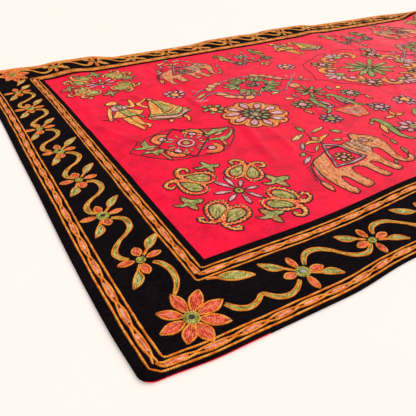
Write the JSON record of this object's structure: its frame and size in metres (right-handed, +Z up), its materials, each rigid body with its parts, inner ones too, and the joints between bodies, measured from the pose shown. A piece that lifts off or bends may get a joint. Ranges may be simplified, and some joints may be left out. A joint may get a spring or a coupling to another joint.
{
  "type": "embroidered tapestry",
  "caption": "Red cotton tapestry with black borders, chain-stitch flowers, animals and mirror discs, laid out flat with soft ripples.",
  "frame": {"origin": "middle of the cloth's outline, on the floor that it lies on", "axes": "+X along the length, +Y across the depth from the near border to the far border, +Z up out of the embroidered face"},
  "size_m": [1.827, 1.0651, 0.0219],
  "materials": {
    "red_cotton": "plain weave cotton, matt",
    "black_cotton": "plain weave cotton, matt",
    "mirror_glass": "thin silvered glass",
    "thread": "cotton embroidery thread, chain stitch, slight sheen"
  },
  "bodies": {
    "root": {"field_cloth": "red_cotton", "border_near": "black_cotton", "border_far": "black_cotton", "border_left": "black_cotton", "border_right": "black_cotton", "mirror_corner_near_left": "mirror_glass", "mirror_corner_near_right": "mirror_glass", "mirror_corner_far_left": "mirror_glass", "mirror_corner_far_right": "mirror_glass", "mirror_field_left": "mirror_glass", "mirror_field_right": "mirror_glass", "mirror_near_01": "mirror_glass", "mirror_near_03": "mirror_glass", "mirror_near_05": "mirror_glass", "mirror_near_07": "mirror_glass", "mirror_near_09": "mirror_glass", "mirror_near_11": "mirror_glass", "mirror_far_01": "mirror_glass", "mirror_far_03": "mirror_glass", "mirror_far_05": "mirror_glass", "mirror_far_07": "mirror_glass", "mirror_far_09": "mirror_glass", "mirror_far_11": "mirror_glass", "mirror_far_13": "mirror_glass", "mirror_left_02": "mirror_glass", "mirror_left_04": "mirror_glass", "mirror_left_06": "mirror_glass", "mirror_right_02": "mirror_glass", "mirror_right_04": "mirror_glass", "mirror_right_06": "mirror_glass"}
  },
  "joints": []
}
